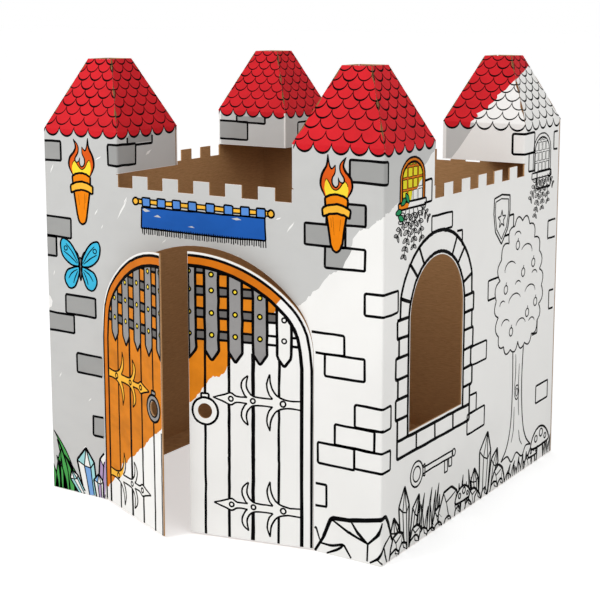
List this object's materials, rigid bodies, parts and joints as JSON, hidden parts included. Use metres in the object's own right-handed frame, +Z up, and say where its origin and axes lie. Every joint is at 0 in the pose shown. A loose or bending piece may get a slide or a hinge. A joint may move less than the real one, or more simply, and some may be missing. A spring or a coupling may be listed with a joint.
{
  "type": "cardboard play castle",
  "caption": "Colour-in play castle folded from printed corrugated board, with square corner towers, battlements, an arched gate of two swinging leaves and a side window.",
  "frame": {"origin": "on the floor under the middle of the part's box, gate leaves ajar as shown", "axes": "+X to the right along the front wall, +Y from the gate to the back wall, +Z up"},
  "size_m": [0.96, 1.0838, 1.09],
  "materials": {
    "printed_board": "matte white printed liner, brown inside",
    "gate_board": "matte white printed liner coloured orange, brown inside"
  },
  "bodies": {
    "walls": {"front_right_sheet": "printed_board", "back_left_sheet": "printed_board"},
    "left_leaf": {"left_gate_leaf": "gate_board"},
    "right_leaf": {"right_gate_leaf": "gate_board"}
  },
  "joints": [
    {"name": "left_leaf_swing", "type": "hinge", "parent": "walls", "child": "left_leaf", "pos_m": [-0.305, -0.4181, 0], "axis": [0, 0, -1], "range_deg": [-24, 126]},
    {"name": "right_leaf_swing", "type": "hinge", "parent": "walls", "child": "right_leaf", "pos_m": [0.305, -0.4181, 0], "axis": [0, 0, 1], "range_deg": [-12.5, 137.5]}
  ]
}
